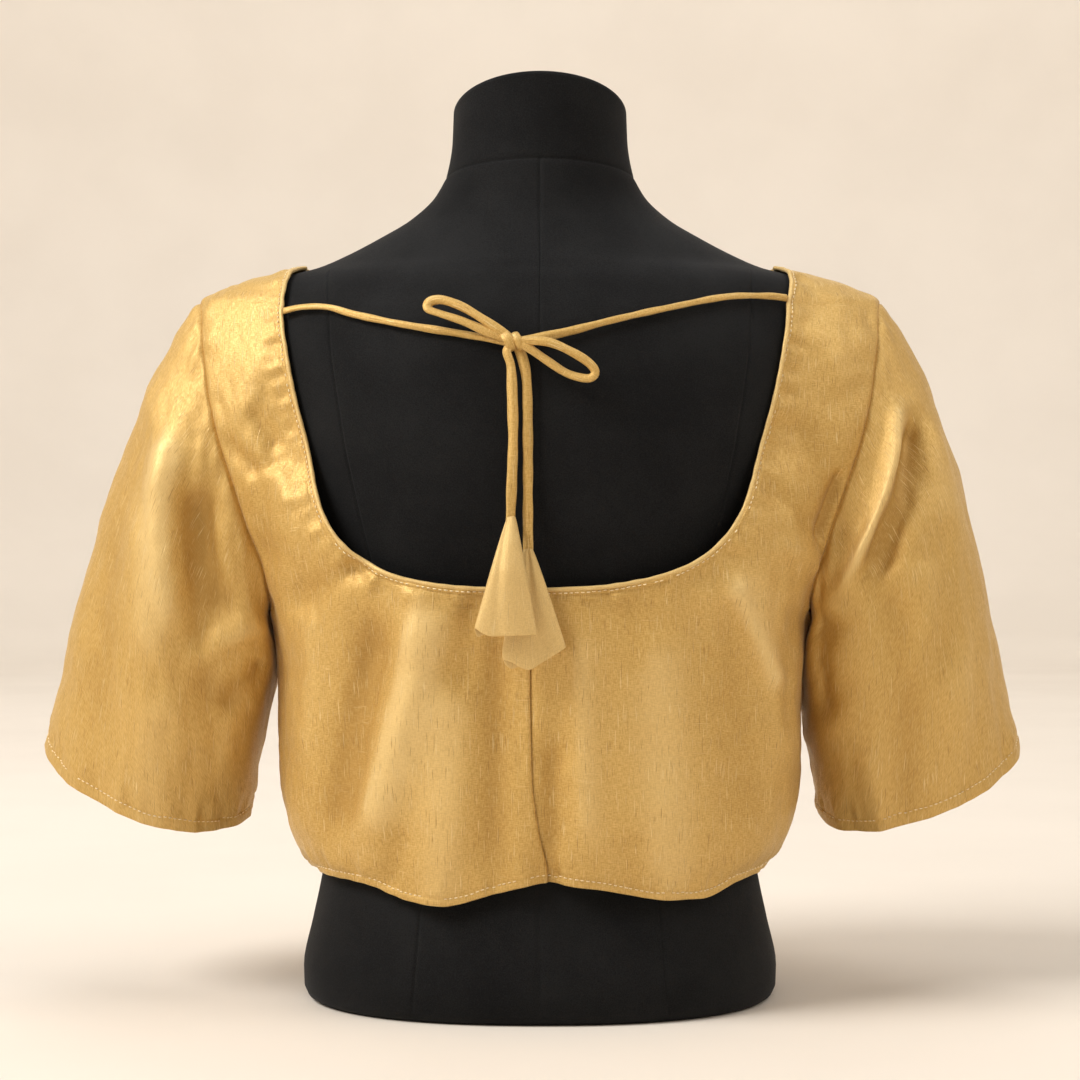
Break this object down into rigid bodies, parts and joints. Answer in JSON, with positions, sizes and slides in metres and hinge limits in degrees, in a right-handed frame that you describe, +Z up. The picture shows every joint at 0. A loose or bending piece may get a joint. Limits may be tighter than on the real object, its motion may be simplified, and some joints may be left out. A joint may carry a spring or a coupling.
{
  "type": "choli blouse on a limbless dress form",
  "caption": "Cropped silk blouse with a deep scooped back, wide elbow sleeves and back ties knotted in a bow with cloth tassels, on a smooth armless bust form.",
  "frame": {"origin": "middle of the dress form's flat underside", "axes": "+Z up, -Y the wearer's back, +X the wearer's right"},
  "size_m": [0.5936, 0.2696, 0.5415],
  "materials": {
    "gold_silk": "slubbed raw silk with a soft sheen",
    "black_cover": "matt stretch cover"
  },
  "bodies": {
    "root": {"dress_form": "black_cover", "back_left": "gold_silk", "back_right": "gold_silk", "front_left": "gold_silk", "front_right": "gold_silk", "sleeve_left": "gold_silk", "sleeve_right": "gold_silk", "neck_binding": "gold_silk", "tie_left": "gold_silk", "tie_right": "gold_silk", "bow_left": "gold_silk", "bow_right": "gold_silk", "tail_left": "gold_silk", "tail_right": "gold_silk", "knot": "gold_silk", "pendant_left": "gold_silk", "pendant_right": "gold_silk"}
  },
  "joints": []
}
